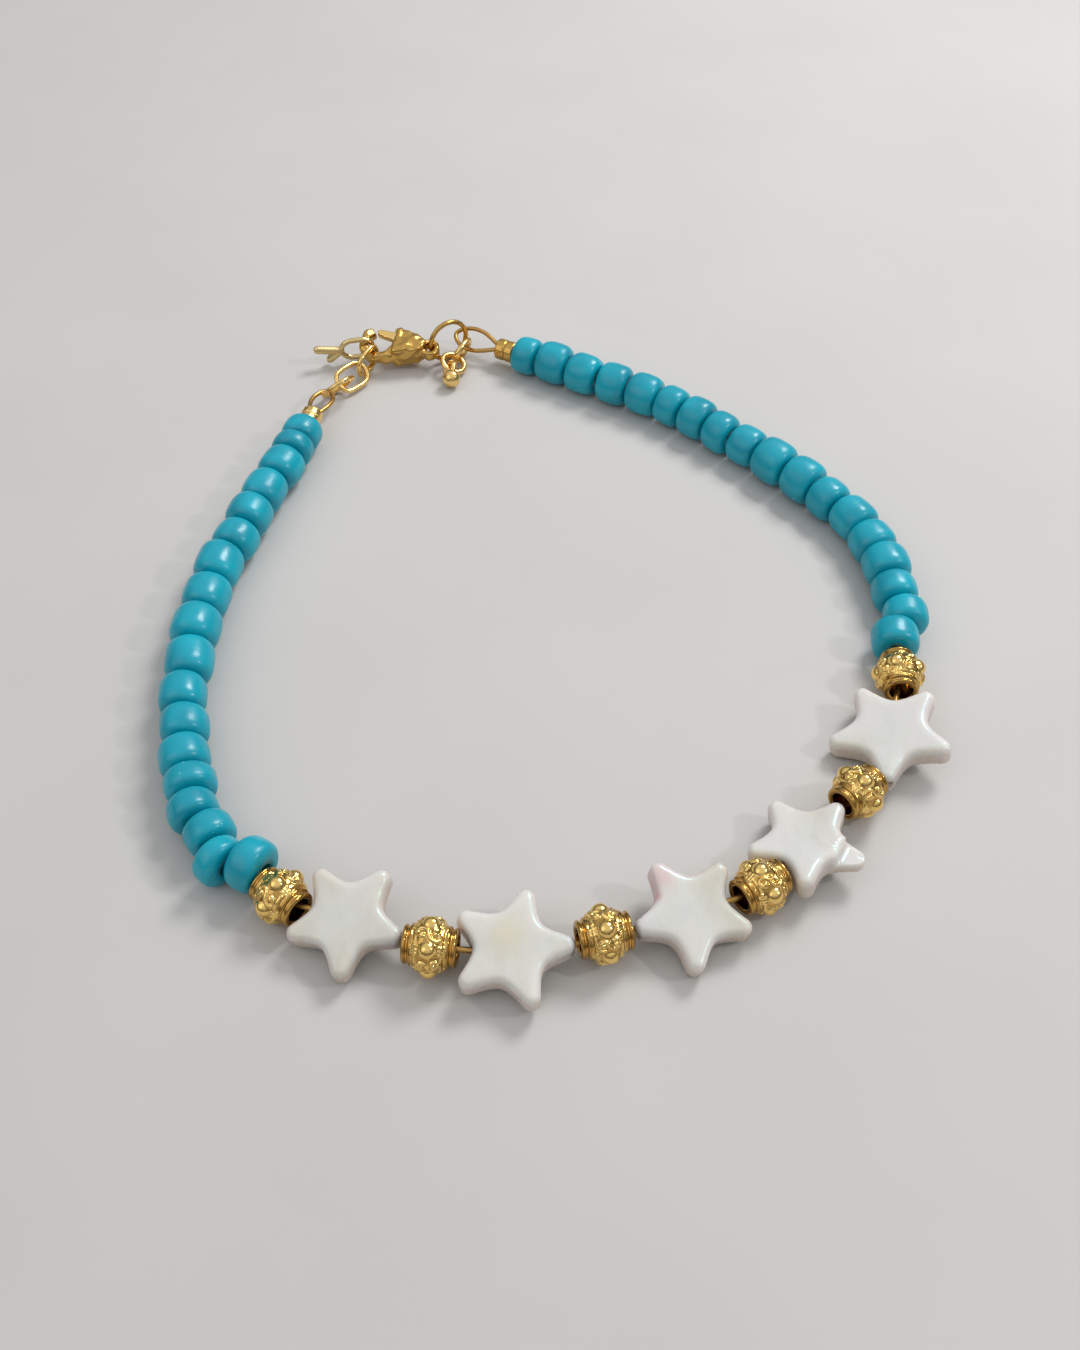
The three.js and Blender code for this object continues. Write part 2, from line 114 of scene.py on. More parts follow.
def addRings(bm, rings, closed):
    # joins rings of points with quads, closed also joins the last ring to the first
    rows = [[bm.verts.new(point) for point in ring] for ring in rings]
    pairs = list(zip(rows, rows[1:])) + ([(rows[-1], rows[0])] if closed else [])
    for first, second in pairs:
        for i in range(len(first)):
            j = (i + 1) % len(first)
            bm.faces.new((first[i], first[j], second[j], second[i]))
    return rows


def addTube(bm, path, radius, sides=8):
    # round bar along a path, with domed ends
    angles = [2.0 * math.pi * k / sides for k in range(sides)]
    rings = []
    for i, point in enumerate(path):
        along = (path[min(i + 1, len(path) - 1)] - path[max(i - 1, 0)]).normalized()
        side = along.orthogonal() if i == 0 else side - along * side.dot(along)
        side.normalize()
        up = along.cross(side)
        rings.append([point + (side * math.cos(a) + up * math.sin(a)) * radius for a in angles])
    rows = addRings(bm, rings, closed=False)
    bm.faces.new(rows[0])
    bm.faces.new(rows[-1])
    for end in (path[0], path[-1]):
        addBall(bm, end, radius, sides)


def addBall(bm, centre, radius, segments):
    bmesh.ops.create_uvsphere(
        bm, u_segments=segments, v_segments=segments // 2,
        radius=radius, matrix=Matrix.Translation(centre),
    )


def turnedRing(profile, segments):
    # turned about X, the profile is (radius, along) and closes on itself
    rings = []
    for k in range(segments):
        angle = 2.0 * math.pi * k / segments
        rings.append([Vector((x, r * math.cos(angle), r * math.sin(angle))) for r, x in profile])
    return rings


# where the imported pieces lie

def nodeMesh(node):
    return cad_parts[node].data


def boreOf(node):
    # the faces of a drilled piece that look towards its middle are its bore
    faces = [(face.center / mm, face.normal, face.area) for face in nodeMesh(node).polygons]
    area = sum(a for _, _, a in faces)
    middle = sum((c * a for c, _, a in faces), Vector()) / area
    bore = [(c, n, a) for c, n, a in faces if (c - middle).dot(n) < 0.0]
    centre = sum((c * a for c, _, a in bore), Vector()) / sum(a for _, _, a in bore)
    spread = sum(a * np.outer(n, n) for _, n, a in bore)
    axis = Vector(np.linalg.eigh(spread)[1][:, 0])
    return middle, centre, axis


def extentsOf(node, centre, direction):
    reach = [(vertex.co / mm - centre).dot(direction) for vertex in nodeMesh(node).vertices]
    return min(reach), max(reach)


def frameFrom(origin, xAxis, zAxis):
    zAxis = (zAxis - xAxis * zAxis.dot(xAxis)).normalized()
    yAxis = zAxis.cross(xAxis)
    place = Matrix((xAxis, yAxis, zAxis)).transposed().to_4x4()
    place.translation = origin
    return place


def fivefoldAngle(points, power=10):
    # direction of the nearest of five equal arms or knobs, in radians
    total = sum(math.hypot(a, b) ** power * np.exp(5j * math.atan2(b, a)) for a, b in points)
    return float(np.angle(total)) / 5.0


# materials

def newMaterial(name, **sockets):
    material = bpy.data.materials.new(name)
    material.use_nodes = True
    shader = material.node_tree.nodes["Principled BSDF"]
    for socket, value in sockets.items():
        shader.inputs[socket.replace("_", " ")].default_value = value
    return material, material.node_tree.nodes, material.node_tree.links, shader


def addNoise(nodes, links, scale, detail=4.0, distortion=0.0):
    place = nodes.new("ShaderNodeTexCoord")
    texture = nodes.new("ShaderNodeTexNoise")
    texture.inputs["Scale"].default_value = scale
    texture.inputs["Detail"].default_value = detail
    texture.inputs["Distortion"].default_value = distortion
    links.new(place.outputs["Object"], texture.inputs["Vector"])
    return texture.outputs["Fac"]


def addRamp(nodes, links, factor, stops):
    ramp = nodes.new("ShaderNodeValToRGB")
    while len(ramp.color_ramp.elements) < len(stops):
        ramp.color_ramp.elements.new(0.5)
    for element, (place, color) in zip(ramp.color_ramp.elements, stops):
        element.position = place
        element.color = (*color, 1.0)
    links.new(factor, ramp.inputs["Fac"])
    return ramp.outputs["Color"]


def addMix(nodes, links, factor, first, second):
    mix = nodes.new("ShaderNodeMix")
    mix.data_type = "RGBA"
    for value, socket in ((factor, mix.inputs[0]), (first, mix.inputs[6]), (second, mix.inputs[7])):
        if isinstance(value, (float, tuple)):
            socket.default_value = value
        else:
            links.new(value, socket)
    return mix.outputs[2]


def addRange(nodes, links, value, low, high, fromLow=0.0, fromHigh=1.0):
    node = nodes.new("ShaderNodeMapRange")
    ends = {"From Min": fromLow, "From Max": fromHigh, "To Min": low, "To Max": high}
    for socket, number in ends.items():
        node.inputs[socket].default_value = number
    links.new(value, node.inputs["Value"])
    return node.outputs["Result"]


def addBump(nodes, links, height, distance, shader, strength=1.0):
    bump = nodes.new("ShaderNodeBump")
    bump.inputs["Distance"].default_value = distance * mm
    bump.inputs["Strength"].default_value = strength
    links.new(height, bump.inputs["Height"])
    links.new(bump.outputs["Normal"], shader.inputs["Normal"])


def readAttribute(nodes, name):
    node = nodes.new("ShaderNodeAttribute")
    node.attribute_name = name
    return node.outputs["Fac"]


# turquoise pony beads

turquoiseBeads = {
    "boreRadius": 0.78,
    "segments": 44,
    "profileSteps": 20,
    "shoulder": 0.62,  # 1 is a round side, less is squarer
    "wobble": 0.09,
    "wobbleScale": 0.32,
    "fineScale": 0.9,
    "fineShare": 0.35,
    "slant": 0.03,
    "deep": (0.002, 0.285, 0.385),
    "clear": (0.003, 0.400, 0.520),
    "chip": (0.75, 0.83, 0.84),
    "chipped": (
        "turquoise_left_14", "turquoise_left_16", "turquoise_left_17", "turquoise_right_08",
    ),
}


def turquoiseMaterial(setup, chipped):
    name = "chippedTurquoiseGlass" if chipped else "turquoiseGlass"
    material, nodes, links, shader = newMaterial(name, Roughness=0.28, IOR=1.45, Coat_Weight=0.08)
    shader.inputs["Coat Roughness"].default_value = 0.12
    streaks = addNoise(nodes, links, 260.0, 3.0, 0.6)
    color = addRamp(nodes, links, streaks, [(0.3, setup["deep"]), (0.7, setup["clear"])])
    if chipped:
        specks = addNoise(nodes, links, 1500.0, 2.0)
        where = addRange(nodes, links, specks, 0.0, 1.0, 0.735, 0.75)
        color = addMix(nodes, links, where, color, (*setup["chip"], 1.0))
    links.new(color, shader.inputs["Base Color"])
    haze = addNoise(nodes, links, 700.0, 5.0)
    links.new(addRange(nodes, links, haze, 0.22, 0.42, 0.3, 0.7), shader.inputs["Roughness"])
    addBump(nodes, links, addNoise(nodes, links, 900.0, 4.0), 0.02, shader)
    return material


def makeTurquoiseBead(node, setup, materials, chance):
    _, centre, axis = boreOf(node)
    low, high = extentsOf(node, centre, axis)
    half = (high - low) / 2.0
    up = Vector((0.0, 0.0, 1.0))
    side = up.cross(axis).normalized()
    tall = -extentsOf(node, centre, up)[0]
    wide = extentsOf(node, centre, side)[1]
    bore = setup["boreRadius"]
    steps = setup["profileSteps"]
    shoulder = setup["shoulder"]
    profile = []
    for i in range(steps + 1):
        t = math.pi * i / steps
        x = -half * math.copysign(abs(math.cos(t)) ** shoulder, math.cos(t))
        rise = max(0.0, math.sin(t)) ** shoulder
        profile.append((bore + (1.0 - bore / tall) * tall * rise, x))
    profile += [(bore, half * 0.5), (bore, 0.0), (bore, -half * 0.5)]
    bm = bmesh.new()
    addRings(bm, turnedRing(profile, setup["segments"]), closed=True)
    seed = Vector([chance.uniform(-50.0, 50.0) for _ in range(3)])
    slant = chance.uniform(-1.0, 1.0) * setup["slant"]
    for vertex in bm.verts:
        point = vertex.co
        outwards = Vector((0.0, point.y, point.z))
        bulge = noise.noise(point * setup["wobbleScale"] + seed)
        bulge += setup["fineShare"] * noise.noise(point * setup["fineScale"] + seed)
        grow = smoothstep(bore, tall, outwards.length)
        vertex.co = point + point.normalized() * bulge * setup["wobble"] * grow
        vertex.co.x += slant * point.y
        vertex.co.y *= 1.0 + (wide / tall - 1.0) * grow
    lowest = min(vertex.co.z for vertex in bm.verts)
    for vertex in bm.verts:
        if vertex.co.z < 0.0:
            vertex.co.z *= tall / -lowest
    bm.transform(frameFrom(centre, axis, up))
    finishPiece(bm, "glass_" + node, materials[node in setup["chipped"]], [node])


def makeTurquoiseBeads(setup):
    chance = random.Random(7)
    materials = {chipped: turquoiseMaterial(setup, chipped) for chipped in (False, True)}
    names = [f"turquoise_{side}_{i:02d}" for side in ("left", "right") for i in range(1, 19)]
    for node in names:
        makeTurquoiseBead(node, setup, materials, chance)
    print("turquoise beads made:", len(names))


makeTurquoiseBeads(turquoiseBeads)


# gold beads, one casting turned six ways

goldBeads = {
    "half": 2.1,
    "belly": 2.1,
    "boreRadius": 1.0,
    "segments": 96,
    "knobRadius": 0.78,
    "knobSunk": 0.43,
    "hoop": {"place": 1.0, "radius": 0.1, "around": 48, "sides": 6},
    "scroll": {"centre": 0.5, "reach": 0.48, "tighten": 0.2, "curl": 300.0, "steps": 16},
    "scrollRadius": 0.13,
    "scrollLift": 0.03,
    "scrollLean": 0.25,
    "granule": {"place": 0.5, "radius": 0.2, "lift": 0.02},
    "smallGranule": {"place": 1.02, "radius": 0.17, "aside": 19.0},
    "fan": {"from": 0.84, "length": 0.42, "spread": 8.5, "radius": 0.1},
    "voxel": 0.06,
    "roughness": 0.13,
    "bright": (1.0, 0.68, 0.225),
    # deep is the colour of the painted shade in the hollows
    "deep": (0.30, 0.13, 0.018),
}

# the barrel's side from one end to its middle: radius, distance from the end
barrelSide = [
    (1.24, 0.00), (1.38, 0.03), (1.49, 0.12), (1.53, 0.22), (1.49, 0.32), (1.38, 0.38),
    (1.34, 0.44), (1.42, 0.50), (1.57, 0.57), (1.64, 0.68), (1.61, 0.79), (1.55, 0.86),
    (1.64, 0.98), (1.84, 1.20), (1.98, 1.45), (2.07, 1.75), (2.09, 2.10),
]


def barrelRadius(x):
    inset = goldBeads["half"] - abs(x)
    for (r0, d0), (r1, d1) in zip(barrelSide, barrelSide[1:]):
        if inset <= d1:
            return r0 + (r1 - r0) * max(0.0, inset - d0) / (d1 - d0)
    return barrelSide[-1][0]


def onBarrel(degrees, x, lift=0.0):
    radius = barrelRadius(x) + lift
    angle = math.radians(degrees)
    return Vector((x, radius * math.cos(angle), radius * math.sin(angle)))


def scrollPath(degrees, lean):
    # two curls that meet in an S, laid on the barrel
    scroll = goldBeads["scroll"]
    centre, curl, steps = scroll["centre"], scroll["curl"], scroll["steps"]
    perMillimetre = math.degrees(1.0 / goldBeads["belly"])
    path = []
    for middle, start, sweep in ((-centre, 70.0, curl), (centre, 180.0, -curl)):
        for i in range(steps + 1):
            t = i / steps
            reach = scroll["reach"] - scroll["tighten"] * (1.0 - t if middle < 0.0 else t)
            angle = math.radians(start + sweep * t)
            x = middle + reach * math.cos(angle)
            aside = reach * math.sin(angle) + lean * x
            path.append(onBarrel(degrees + aside * perMillimetre, x, goldBeads["scrollLift"]))
    return path


def barrelHoop(x, hoop):
    # a thin hoop round the barrel
    radius, around, sides = hoop["radius"], hoop["around"], hoop["sides"]
    seat = barrelRadius(x)
    rings = []
    for k in range(around):
        a = 2.0 * math.pi * k / around
        out = Vector((0.0, math.cos(a), math.sin(a)))
        ring = []
        for j in range(sides):
            b = 2.0 * math.pi * j / sides
            along = Vector((x + radius * math.cos(b), 0.0, 0.0))
            ring.append(along + out * (seat + radius * math.sin(b)))
        rings.append(ring)
    return rings


def goldCasting(setup):
    bm = bmesh.new()
    half = setup["half"]
    side = [(r, d - half) for r, d in barrelSide]
    bore = setup["boreRadius"]
    inside = half - 0.1
    otherSide = [(r, -x) for r, x in reversed(side[:-1])]
    profile = [(bore, -inside), *side, *otherSide, (bore, inside)]
    addRings(bm, turnedRing(profile, setup["segments"]), closed=True)
    hoop, granule, small, fan = (setup[key] for key in ("hoop", "granule", "smallGranule", "fan"))
    for end in (-1, 1):
        addRings(bm, barrelHoop(end * hoop["place"], hoop), closed=True)
    for k in range(5):
        knob = 72.0 * k
        between = knob + 36.0
        addBall(bm, onBarrel(knob, 0.0, -setup["knobSunk"]), setup["knobRadius"], 24)
        lean = setup["scrollLean"] if k % 2 else -setup["scrollLean"]
        addTube(bm, scrollPath(between, lean), setup["scrollRadius"])
        for end in (-1, 1):
            place = onBarrel(between, end * granule["place"], granule["lift"])
            addBall(bm, place, granule["radius"], 12)
            place = onBarrel(between + end * small["aside"], -end * small["place"])
            addBall(bm, place, small["radius"], 12)
            for ray in (-1, 0, 1):
                angle = knob + ray * fan["spread"]
                stops = [fan["from"] + fan["length"] * t for t in (0.0, 0.5, 1.0)]
                addTube(bm, [onBarrel(angle, end * stop) for stop in stops], fan["radius"])
    return runModifiers(bm, [
        ("REMESH", {"mode": "VOXEL", "voxel_size": setup["voxel"]}),
        ("SMOOTH", {"factor": 0.5, "iterations": 2}),
    ])


def paintHollowShade(piece, place):
    # how far a point lies below the raised work, for the painted shade in the hollows
    inverse = place.inverted()
    values = []
    for vertex in piece.data.vertices:
        point = inverse @ (vertex.co / mm)
        radius = math.hypot(point.y, point.z)
        values.append(0.8 * smoothstep(0.06, -0.03, radius - barrelRadius(point.x)))
    piece.data.attributes.new("hollow", "FLOAT", "POINT").data.foreach_set("value", values)


def goldMaterial(name, bright, roughness, deep=None):
    material, nodes, links, shader = newMaterial(name, Metallic=1.0)
    wear = addNoise(nodes, links, 420.0, 6.0, 0.4)
    worn = tuple(c * 0.86 for c in bright)
    color = addRamp(nodes, links, wear, [(0.25, worn), (0.75, bright)])
    if deep:
        # the hollow attribute mixes in deep, painted shade in the hollows between the raised work
        color = addMix(nodes, links, readAttribute(nodes, "hollow"), color, (*deep, 1.0))
    links.new(color, shader.inputs["Base Color"])
    polish = addRange(nodes, links, wear, roughness * 0.75, roughness * 1.3, 0.3, 0.7)
    links.new(polish, shader.inputs["Roughness"])
    addBump(nodes, links, addNoise(nodes, links, 1800.0, 5.0), 0.02, shader, 0.7)
    return material


def makeGoldBeads(setup):
    material = goldMaterial("castGold", setup["bright"], setup["roughness"], setup["deep"])
    casting = goldCasting(setup)
    for i in range(1, 7):
        node = f"gold_bead_{i}"
        before, _, _ = boreOf(f"star_bead_{i - 1}" if i > 1 else "turquoise_left_18")
        after, _, _ = boreOf(f"star_bead_{i}" if i < 6 else "turquoise_right_01")
        _, centre, axis = boreOf(node)
        axis = axis if axis.dot(after - before) > 0.0 else -axis
        place = frameFrom(centre, axis, Vector((0.0, 0.0, 1.0)))
        inverse = place.inverted()
        around = [(inverse @ (vertex.co / mm)).yz for vertex in nodeMesh(node).vertices]
        place = place @ Matrix.Rotation(fivefoldAngle(around), 4, "X")
        bm = casting.copy()
        bm.transform(place)
        piece = finishPiece(bm, "cast_" + node, material, [node])
        paintHollowShade(piece, place)
    casting.free()
    print("gold beads made: 6")


makeGoldBeads(goldBeads)


# mother-of-pearl stars

pearlStars = {
    "tip": 4.9,
    "tipRound": 0.75,
    "notch": 2.85,
    "half": 1.15,
    "wave": 0.035,  # unevenness of the faces
    "boreRadius": 0.6,
    "chippedStar": "star_bead_4",
    "chippedArm": 4,
    "chipDepth": 0.95,
    "tipCorner": 22.0,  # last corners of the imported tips, in degrees off their middle
    "armCorner": 14.0,
    "white": (0.71, 0.68, 0.64),
    "cream": (0.62, 0.57, 0.50),
    "cool": (0.70, 0.65, 0.635),
    "stainColor": (0.74, 0.60, 0.36),
    # paintedSideShade is painted warm shade on the side walls and underside
    "paintedSideShade": (0.60, 0.47, 0.31),
    "blush": (0.70, 0.40, 0.42),
}

# the rounded edge of a star: how far in from the outline, and how far below the face
starEdge = [
    (0.6, 0.0), (0.45, 0.03), (0.3, 0.1), (0.17, 0.21), (0.07, 0.38), (0.01, 0.6), (0.0, 0.85),
]


def starOutline(setup, size):
    # round tips joined by curves, each with both its handles on one point
    points = []
    tipRound = setup["tipRound"]
    centreReach = size * setup["tip"] - tipRound
    sweep = math.radians(66.0)
    hollow = (size * setup["notch"] - 0.25 * centreReach * math.cos(math.radians(36.0))) / 0.75

    def onTip(arm, angle):
        return Vector((
            centreReach * math.cos(arm) + tipRound * math.cos(angle),
            centreReach * math.sin(arm) + tipRound * math.sin(angle),
        ))

    for k in range(5):
        arm, nextArm = math.radians(72.0 * k), math.radians(72.0 * (k + 1))
        points += [onTip(arm, arm + sweep * t / 5.0) for t in range(-5, 5)]
        first, last = onTip(arm, arm + sweep), onTip(nextArm, nextArm - sweep)
        between = (arm + nextArm) / 2.0
        control = Vector((math.cos(between), math.sin(between))) * hollow
        for i in range(14):
            t = i / 14.0
            points.append(first * (1 - t) ** 3 + control * 3 * t * (1 - t) + last * t ** 3)
    return points


def starBlank(setup, size, chance):
    outline = starOutline(setup, size)
    count = len(outline)
    inwards = []
    for i, point in enumerate(outline):
        along = (outline[(i + 1) % count] - outline[i - 1]).normalized()
        inwards.append(Vector((-along.y, along.x)))
    half = setup["half"]
    levels = [(inset, half - drop) for inset, drop in starEdge]
    levels += [(inset, drop - half) for inset, drop in reversed(starEdge)]
    rings = []
    for inset, z in levels:
        edge = [point + inwards[i] * inset for i, point in enumerate(outline)]
        rings.append([Vector((*point, z)) for point in edge])
    bm = bmesh.new()
    rows = addRings(bm, rings, closed=False)
    for row, height in ((rows[0], half), (rows[-1], -half)):
        rim = [vertex.co.copy() for vertex in row]
        previous = row
        for share in (0.8, 0.6, 0.4, 0.2):
            ring = [bm.verts.new((point.x * share, point.y * share, height)) for point in rim]
            for i in range(count):
                j = (i + 1) % count
                bm.faces.new((previous[i], previous[j], ring[j], ring[i]))
            previous = ring
        centre = bm.verts.new((0.0, 0.0, height))
        for i in range(count):
            bm.faces.new((previous[i], previous[(i + 1) % count], centre))
    seed = Vector([chance.uniform(-50.0, 50.0) for _ in range(3)])
    for vertex in bm.verts:
        vertex.co.z += setup["wave"] * noise.noise(vertex.co * 0.5 + seed)
    bmesh.ops.recalc_face_normals(bm, faces=bm.faces)
    return bm


def cutFrom(bm, cutter):
    cutterMesh = bpy.data.meshes.new("cutter")
    bmesh.ops.recalc_face_normals(cutter, faces=cutter.faces)
    cutter.to_mesh(cutterMesh)
    cutter.free()
    tool = bpy.data.objects.new("cutter", cutterMesh)
    bpy.context.collection.objects.link(tool)
    settings = {"operation": "DIFFERENCE", "object": tool, "solver": "EXACT"}
    result = runModifiers(bm, [("BOOLEAN", settings)])
    bpy.data.objects.remove(tool)
    return result


def drillStar(bm, setup):
    drill = bmesh.new()
    bmesh.ops.create_cone(
        drill, cap_ends=True, segments=20, depth=4.0 * setup["tip"],
        radius1=setup["boreRadius"], radius2=setup["boreRadius"],
        matrix=Matrix.Rotation(math.pi / 2.0, 4, "Y"),
    )
    return cutFrom(bm, drill)


def chipStar(bm, setup, size):
    # takes the upper layer off one arm, along a slightly curved edge
    chip = bmesh.new()
    bmesh.ops.create_grid(chip, x_segments=8, y_segments=14, size=1.0)
    reach = setup["tip"]
    for vertex in chip.verts:
        x, y = vertex.co.x, vertex.co.y
        edge = size * setup["notch"] + 0.12 * math.sin(2.2 * y + 0.6)
        depth = setup["half"] - setup["chipDepth"]
        vertex.co = Vector((edge + (x + 1.0) * reach / 2.0, y * reach, depth))
        vertex.co.z += 0.05 * noise.noise(vertex.co)
    top = bmesh.ops.extrude_face_region(chip, geom=chip.faces[:], use_keep_orig=True)
    for vertex in [item for item in top["geom"] if isinstance(item, bmesh.types.BMVert)]:
        vertex.co.z += 3.0
    chip.transform(Matrix.Rotation(math.radians(72.0 * setup["chippedArm"]), 4, "Z"))
    return cutFrom(bm, chip)


def pearlMaterial(setup):
    material, nodes, links, shader = newMaterial("motherOfPearl", IOR=1.53, Subsurface_Weight=0.7)
    shader.inputs["Subsurface Radius"].default_value = (1.0, 0.85, 0.7)
    shader.inputs["Subsurface Scale"].default_value = 1.6 * mm
    shader.inputs["Coat Weight"].default_value = 0.35
    shader.inputs["Coat Roughness"].default_value = 0.1
    shader.inputs["Thin Film Thickness"].default_value = 380.0
    shader.inputs["Thin Film IOR"].default_value = 1.4
    clouds = addNoise(nodes, links, 90.0, 4.0, 0.8)
    stops = [(0.38, setup["cream"]), (0.56, setup["white"]), (0.72, setup["cool"])]
    face = addRamp(nodes, links, clouds, stops)
    # painted warm shade, mixed in by the side attribute where the surface faces down
    color = addMix(nodes, links, readAttribute(nodes, "side"), face, (*setup["paintedSideShade"], 1.0))
    color = addMix(nodes, links, readAttribute(nodes, "stain"), color, (*setup["stainColor"], 1.0))
    color = addMix(nodes, links, readAttribute(nodes, "blush"), color, (*setup["blush"], 1.0))
    links.new(color, shader.inputs["Base Color"])
    layers = nodes.new("ShaderNodeTexWave")
    layers.inputs["Scale"].default_value = 240.0
    layers.inputs["Distortion"].default_value = 9.0
    layers.inputs["Detail"].default_value = 3.0
    place = nodes.new("ShaderNodeTexCoord")
    links.new(place.outputs["Object"], layers.inputs["Vector"])
    links.new(addRange(nodes, links, layers.outputs["Fac"], 0.26, 0.3), shader.inputs["Roughness"])
    addBump(nodes, links, layers.outputs["Fac"], 0.002, shader, 0.1)
    return material


# marks on the stars, in each star's own millimetres: middle, radius, how strong
starMarks = {
    "star_bead_2": {"stain": [((-0.2, 0.6), 2.4, 0.35)]},
    "star_bead_3": {"blush": [((1.4, -3.2), 1.9, 0.45), ((2.2, -1.9), 0.8, 0.7)]},
}


def markStar(piece, node, place):
    inverse = place.inverted()
    marks = starMarks.get(node, {})
    points = [inverse @ (vertex.co / mm) for vertex in piece.data.vertices]
    normals = [inverse.to_3x3() @ vertex.normal for vertex in piece.data.vertices]
    # side is painted warm shade, stronger where the surface faces sideways and down
    side = [0.5 * smoothstep(0.5, -0.3, normal.z) for normal in normals]
    piece.data.attributes.new("side", "FLOAT", "POINT").data.foreach_set("value", side)
    for kind in ("stain", "blush"):
        values = []
        for point in points:
            amount = 0.0
            for (x, y), radius, strength in marks.get(kind, []):
                away = math.hypot(point.x - x, point.y - y) + 0.5 * noise.noise(point)
                amount = max(amount, strength * smoothstep(radius, 0.0, away))
            values.append(amount)
        piece.data.attributes.new(kind, "FLOAT", "POINT").data.foreach_set("value", values)


def starPlace(node, setup):
    middle, centre, axis = boreOf(node)
    axis = axis if axis.dot(centre - middle) > 0.0 else -axis
    faces = nodeMesh(node).polygons
    spread = sum(face.area * np.outer(face.normal, face.normal) for face in faces)
    up = Vector(np.linalg.eigh(spread)[1][:, 2])
    up = up if up.z > 0.0 else -up
    back, tip = extentsOf(node, centre, axis)
    # packed tips are cut flat short of their round, the reach to the two arms behind gives the size
    flat = math.cos(math.radians(setup["tipCorner"])) * setup["tipRound"]
    arm = math.cos(math.radians(36.0))
    behind = math.cos(math.radians(setup["armCorner"])) * setup["tipRound"]
    ends = flat - setup["tipRound"] * (1.0 + arm) + behind
    size = (tip - back - ends) / (setup["tip"] * (1.0 + arm))
    reach = size * setup["tip"] - setup["tipRound"] + flat
    return frameFrom(centre + axis * (tip - reach), axis, up), size


def makeStars(setup):
    material = pearlMaterial(setup)
    chance = random.Random(21)
    for i in range(1, 6):
        node = f"star_bead_{i}"
        place, size = starPlace(node, setup)
        bm = drillStar(starBlank(setup, size, chance), setup)
        if node == setup["chippedStar"]:
            bm = chipStar(bm, setup, size)
        bm.transform(place)
        piece = finishPiece(bm, "pearl_" + node, material, [node])
        markStar(piece, node, place)
    print("stars made: 5")


makeStars(pearlStars)


# wire, links and clasp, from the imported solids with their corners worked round

findings = {
    "bright": (1.0, 0.68, 0.25),
    "claspColor": (0.66, 0.40, 0.11),
    "paleColor": (0.86, 0.66, 0.32),
    "wireColor": (0.55, 0.33, 0.10),
    "swell": 0.04,
    "dropSwell": 0.09,
    "voxel": 0.07,
    "lumpScale": 1.1,
}


def nodeInMillimetres(node):
    bm = bmesh.new()
    bm.from_mesh(nodeMesh(node))
    bm.transform(Matrix.Scale(1.0 / mm, 4))
    bmesh.ops.remove_doubles(bm, verts=bm.verts, dist=0.002)
    return bm


def roundedWire(node, name, material, swell):
    bm = runModifiers(nodeInMillimetres(node), [
        ("SUBSURF", {"levels": 2, "render_levels": 2}),
        ("DISPLACE", {"strength": swell, "mid_level": 0.0}),
    ])
    finishPiece(bm, name, material, [node])


def castFinding(node, material, body="anklet", smooth=4, swell=0.02, lumps=0.0):
    bm = runModifiers(nodeInMillimetres(node), [
        ("REMESH", {"mode": "VOXEL", "voxel_size": findings["voxel"]}),
        ("SMOOTH", {"factor": 0.5, "iterations": smooth}),
        ("DISPLACE", {"strength": swell, "mid_level": 0.0}),
    ])
    bm.normal_update()
    for vertex in bm.verts:
        vertex.co += vertex.normal * lumps * noise.noise(vertex.co * findings["lumpScale"])
    name = ("tube_" if node.startswith("crimp") else "cast_") + node
    finishPiece(bm, name, material, [node], body)


def makeFindings(setup):
    gold = goldMaterial("polishedGold", setup["bright"], 0.2)
    claspGold = goldMaterial("claspGold", setup["claspColor"], 0.26)
    paleGold = goldMaterial("paleGold", setup["paleColor"], 0.3)
    wireGold = goldMaterial("wireGold", setup["wireColor"], 0.32)
    swell, dropSwell = setup["swell"], setup["dropSwell"]
    roundedWire("stringing_wire", "beading_wire", wireGold, swell)
    roundedWire("ring_left", "wire_ring_left", gold, swell)
    roundedWire("jump_ring", "wire_jump_ring", claspGold, swell)
    for i in range(1, 5):
        node = f"extender_link_{i}"
        roundedWire(node, "wire_" + node, gold, swell if i < 3 else dropSwell)
    castFinding("crimp_left", gold, smooth=1)
    castFinding("crimp_right", claspGold, smooth=1)
    castFinding("end_ball", gold, swell=0.1)
    castFinding("clasp_charm", paleGold, swell=0.05)
    castFinding("clasp_body", claspGold, smooth=60, swell=0.14, lumps=0.22)
    castFinding("clasp_lever", gold, body="lever", smooth=2)
    print("wire, links and clasp made")


makeFindings(findings)


# pale table and soft light from the upper right

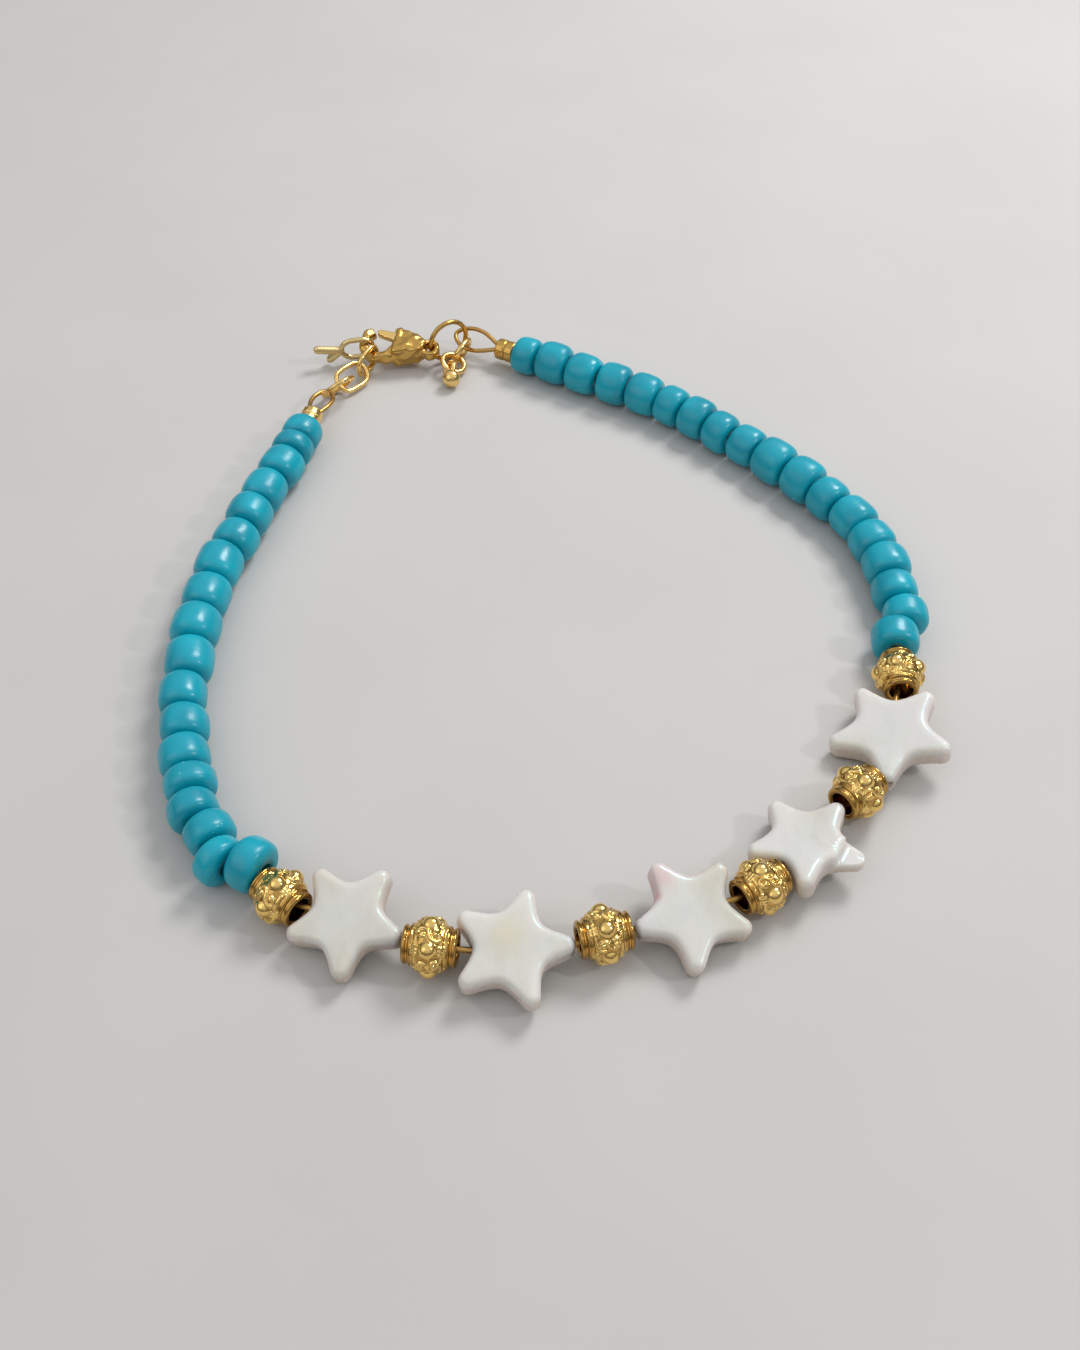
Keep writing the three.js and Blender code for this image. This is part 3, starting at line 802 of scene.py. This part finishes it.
studio = {
    "floorColor": (0.57, 0.553, 0.535),
    "floorSize": 4.0,  # metres
    "world": 0.5,
    "sky": [(0.0, (0.24, 0.21, 0.18)), (0.35, (0.45, 0.45, 0.45)), (0.8, (1.45, 1.47, 1.5))],
    "key": {"place": (170.0, 200.0, 300.0), "size": 150.0, "watts": 0.85},
    "fill": {"place": (-260.0, -120.0, 240.0), "size": 300.0, "watts": 0.14},
    "glint": {"place": (260.0, -60.0, 220.0), "size": 26.0, "watts": 0.16},
}


def addSoftLight(name, setup):
    data = bpy.data.lights.new(name, "AREA")
    data.shape = "DISK"
    data.size = setup["size"] * mm
    data.energy = setup["watts"]
    light = bpy.data.objects.new(name, data)
    light.location = Vector(setup["place"]) * mm
    light.rotation_euler = (-light.location).to_track_quat("-Z", "Y").to_euler()
    bpy.context.collection.objects.link(light)


def makeStudio(setup):
    material, nodes, links, shader = newMaterial("paleTable", Roughness=0.85)
    mottle = addNoise(nodes, links, 40.0, 3.0)
    dim = tuple(c * 0.97 for c in setup["floorColor"])
    color = addRamp(nodes, links, mottle, [(0.35, dim), (0.65, setup["floorColor"])])
    links.new(color, shader.inputs["Base Color"])
    bpy.ops.mesh.primitive_plane_add(size=setup["floorSize"], location=(0.0, 0.0, -0.02 * mm))
    floor = bpy.context.object
    floor.name = "table_surface"
    floor.data.materials.append(material)
    world = bpy.data.worlds.new("softRoom")
    world.use_nodes = True
    nodes, links = world.node_tree.nodes, world.node_tree.links
    place = nodes.new("ShaderNodeTexCoord")
    split = nodes.new("ShaderNodeSeparateXYZ")
    links.new(place.outputs["Generated"], split.inputs["Vector"])
    height = addRange(nodes, links, split.outputs["Z"], 0.0, 1.0, -0.1, 1.0)
    background = nodes["Background"]
    links.new(addRamp(nodes, links, height, setup["sky"]), background.inputs["Color"])
    background.inputs["Strength"].default_value = setup["world"]
    bpy.context.scene.world = world
    for name in ("key", "fill", "glint"):
        addSoftLight(name + "Light", setup[name])
    bpy.context.scene.view_settings.view_transform = "Standard"


makeStudio(studio)
print("studio set")
